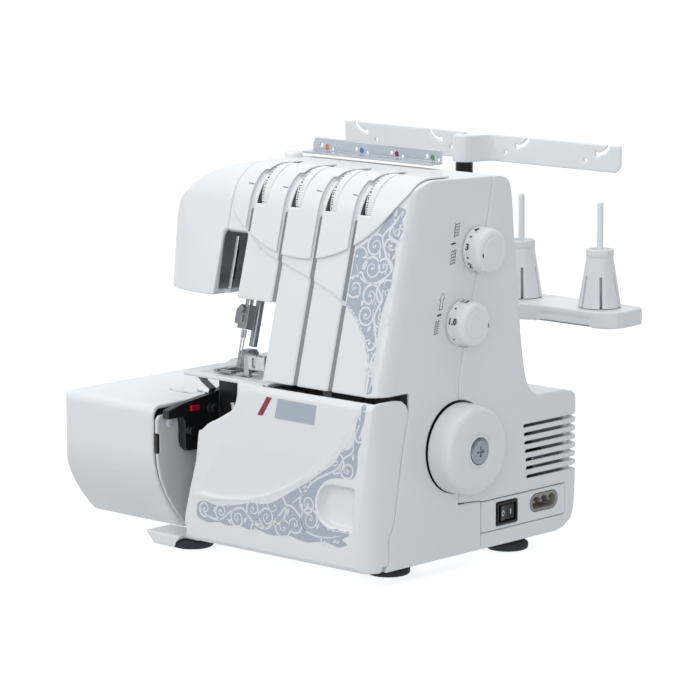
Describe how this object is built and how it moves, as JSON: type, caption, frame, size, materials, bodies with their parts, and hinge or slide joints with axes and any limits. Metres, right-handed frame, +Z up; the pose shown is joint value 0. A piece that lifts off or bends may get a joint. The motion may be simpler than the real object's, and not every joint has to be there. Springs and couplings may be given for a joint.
{
  "type": "serger overlock machine",
  "caption": "Domestic overlock machine: leaning tower with tension dials, needle head over a low bed, hinged front cover, side block, handwheel and rear cone stand with thread bar.",
  "frame": {"origin": "middle of the outline in plan, on the table under the feet", "axes": "+X to the operator's right (handwheel side), +Y to the back (spool stand side), +Z up"},
  "size_m": [0.3236, 0.3056, 0.2812],
  "materials": {
    "white_shell": "satin gloss moulded, warm-cool white",
    "dial_white": "satin",
    "light_grey_plastic": "fine texture",
    "grey_plastic": "matte",
    "black_plastic": "satin",
    "red_plastic": "gloss",
    "rubber": "matte",
    "belt_rubber": "matte",
    "cast_frame": "as cast",
    "motor_can": "satin",
    "steel": "ground",
    "chrome": "polished"
  },
  "bodies": {
    "machine": {"base_tray": "white_shell", "foot_front_left": "rubber", "foot_front_right": "rubber", "foot_rear_left": "rubber", "foot_rear_right": "rubber", "machine_frame": "cast_frame", "front_casing": "white_shell", "rear_casing": "white_shell", "electrical_panel": "white_shell", "switch_bezel": "black_plastic", "power_inlet": "grey_plastic", "face_cover": "white_shell", "tension_cover": "white_shell", "motor": "motor_can", "drive_belt": "belt_rubber", "bed_casing": "white_shell", "cloth_plate": "white_shell", "needle_plate": "steel", "needle_thread_guide": "chrome", "lower_knife": "steel", "looper_carrier": "black_plastic", "looper_thread_guide": "chrome", "top_thread_guide": "chrome", "spool_stand": "white_shell", "cone_holder_1": "light_grey_plastic", "cone_holder_2": "light_grey_plastic", "cone_holder_3": "light_grey_plastic", "cone_holder_4": "light_grey_plastic", "pole_lower_tube": "chrome"},
    "drive": {"handwheel": "dial_white", "handwheel_screw": "steel", "main_shaft": "steel"},
    "motor_rotor": {"motor_pulley": "steel"},
    "dial_1": {"left_needle_tension_dial": "dial_white"},
    "dial_2": {"right_needle_tension_dial": "dial_white"},
    "dial_3": {"upper_looper_tension_dial": "dial_white"},
    "dial_4": {"lower_looper_tension_dial": "dial_white"},
    "stitch_knob": {"stitch_length_dial": "dial_white"},
    "feed_knob": {"differential_feed_dial": "dial_white"},
    "switch_rocker": {"power_switch": "black_plastic"},
    "cover_hinge": {"cover_hinge_rod": "steel"},
    "cover": {"front_cover": "white_shell"},
    "block": {"extension_block": "white_shell", "block_end_plate": "light_grey_plastic", "block_latch": "black_plastic"},
    "lifter": {"presser_lifter": "white_shell"},
    "presser": {"presser_bar": "steel", "presser_foot": "chrome"},
    "needles": {"needle_bar": "steel", "needle_clamp": "chrome", "left_needle": "steel", "right_needle": "steel"},
    "knife": {"upper_knife": "steel"},
    "looper_low": {"lower_looper": "steel"},
    "looper_up": {"upper_looper": "steel"},
    "feed": {"feed_dog": "steel"},
    "button": {"release_button": "red_plastic"},
    "pole_top": {"pole_upper_tube": "chrome"},
    "tree": {"thread_tree": "white_shell"},
    "pressure": {"presser_pressure_dial": "grey_plastic"}
  },
  "joints": [
    {"name": "handwheel_turn", "type": "hinge", "parent": "machine", "child": "drive", "pos_m": [0.1452, -0.0637, 0.0856], "axis": [1, 0, 0], "continuous": true},
    {"name": "motor_turn", "type": "hinge", "parent": "machine", "child": "motor_rotor", "pos_m": [0.0852, 0.0308, 0.062], "axis": [1, 0, 0], "continuous": true},
    {"name": "left_needle_tension_turn", "type": "hinge", "parent": "machine", "child": "dial_1", "pos_m": [0.0071, -0.0884, 0.248], "axis": [1, 0, 0], "range_deg": [-135, 135]},
    {"name": "right_needle_tension_turn", "type": "hinge", "parent": "machine", "child": "dial_2", "pos_m": [0.0395, -0.0884, 0.248], "axis": [1, 0, 0], "range_deg": [-135, 135]},
    {"name": "upper_looper_tension_turn", "type": "hinge", "parent": "machine", "child": "dial_3", "pos_m": [0.0718, -0.0884, 0.248], "axis": [1, 0, 0], "range_deg": [-135, 135]},
    {"name": "lower_looper_tension_turn", "type": "hinge", "parent": "machine", "child": "dial_4", "pos_m": [0.1041, -0.0884, 0.248], "axis": [1, 0, 0], "range_deg": [-135, 135]},
    {"name": "stitch_length_turn", "type": "hinge", "parent": "machine", "child": "stitch_knob", "pos_m": [0.1452, -0.0432, 0.2195], "axis": [1, 0, 0], "range_deg": [-150, 150]},
    {"name": "differential_feed_turn", "type": "hinge", "parent": "machine", "child": "feed_knob", "pos_m": [0.1452, -0.0599, 0.171], "axis": [1, 0, 0], "range_deg": [-60, 60]},
    {"name": "power_switch_rock", "type": "hinge", "parent": "machine", "child": "switch_rocker", "pos_m": [0.1348, -0.0106, 0.0321], "axis": [0, 0, 1], "range_deg": [-12, 0]},
    {"name": "cover_slide", "type": "slide", "parent": "machine", "child": "cover_hinge", "axis": [1, 0, 0], "range_m": [0, 0.008]},
    {"name": "cover_tilt", "type": "hinge", "parent": "cover_hinge", "child": "cover", "pos_m": [0.0532, -0.1404, 0.016], "axis": [1, 0, 0], "range_deg": [0, 75]},
    {"name": "block_slide", "type": "slide", "parent": "machine", "child": "block", "axis": [-1, 0, 0], "range_m": [0, 0.05]},
    {"name": "lifter_swing", "type": "hinge", "parent": "machine", "child": "lifter", "pos_m": [-0.0328, -0.0292, 0.189], "axis": [1, 0, 0], "range_deg": [0, 35]},
    {"name": "presser_lift", "type": "slide", "parent": "machine", "child": "presser", "axis": [0, 0.2504, 0.9681], "range_m": [0, 0.0065]},
    {"name": "needle_travel", "type": "slide", "parent": "machine", "child": "needles", "axis": [0, 0.2504, 0.9681], "range_m": [-0.008, 0.019]},
    {"name": "knife_travel", "type": "slide", "parent": "machine", "child": "knife", "axis": [0, 0.2504, 0.9681], "range_m": [-0.0033, 0.0077]},
    {"name": "lower_looper_swing", "type": "hinge", "parent": "machine", "child": "looper_low", "pos_m": [-0.0148, -0.1052, 0.066], "axis": [0, 1, 0], "range_deg": [-8, 8]},
    {"name": "upper_looper_swing", "type": "hinge", "parent": "machine", "child": "looper_up", "pos_m": [0.0122, -0.1012, 0.076], "axis": [0, 1, 0], "range_deg": [-8, 8]},
    {"name": "feed_travel", "type": "slide", "parent": "machine", "child": "feed", "axis": [0, 1, 0], "range_m": [-0.0011, 0.0026]},
    {"name": "release_button_press", "type": "slide", "parent": "machine", "child": "button", "axis": [1, 0, 0], "range_m": [0, 0.0015], "stiffness_N_per_m": 150},
    {"name": "pole_extend", "type": "slide", "parent": "machine", "child": "pole_top", "axis": [0, 0, 1], "range_m": [0, 0.085]},
    {"name": "tree_swivel", "type": "hinge", "parent": "pole_top", "child": "tree", "pos_m": [-0.0048, 0.1093, 0.26], "axis": [0, 0, 1], "range_deg": [-30, 30]},
    {"name": "pressure_dial_turn", "type": "hinge", "parent": "machine", "child": "pressure", "pos_m": [-0.0378, -0.0372, 0.272], "axis": [0, 0, 1], "range_deg": [-170, 170]}
  ],
  "couplings": [
    {"joint": "motor_turn", "follows": "handwheel_turn", "ratio": 2.87},
    {"joint": "lifter_swing", "follows": "presser_lift", "rad_per_m": 93.79},
    {"joint": "knife_travel", "follows": "needle_travel", "ratio": 0.4},
    {"joint": "lower_looper_swing", "follows": "needle_travel", "rad_per_m": 7.275},
    {"joint": "upper_looper_swing", "follows": "needle_travel", "rad_per_m": -7.275},
    {"joint": "feed_travel", "follows": "needle_travel", "ratio": 0.133}
  ]
}
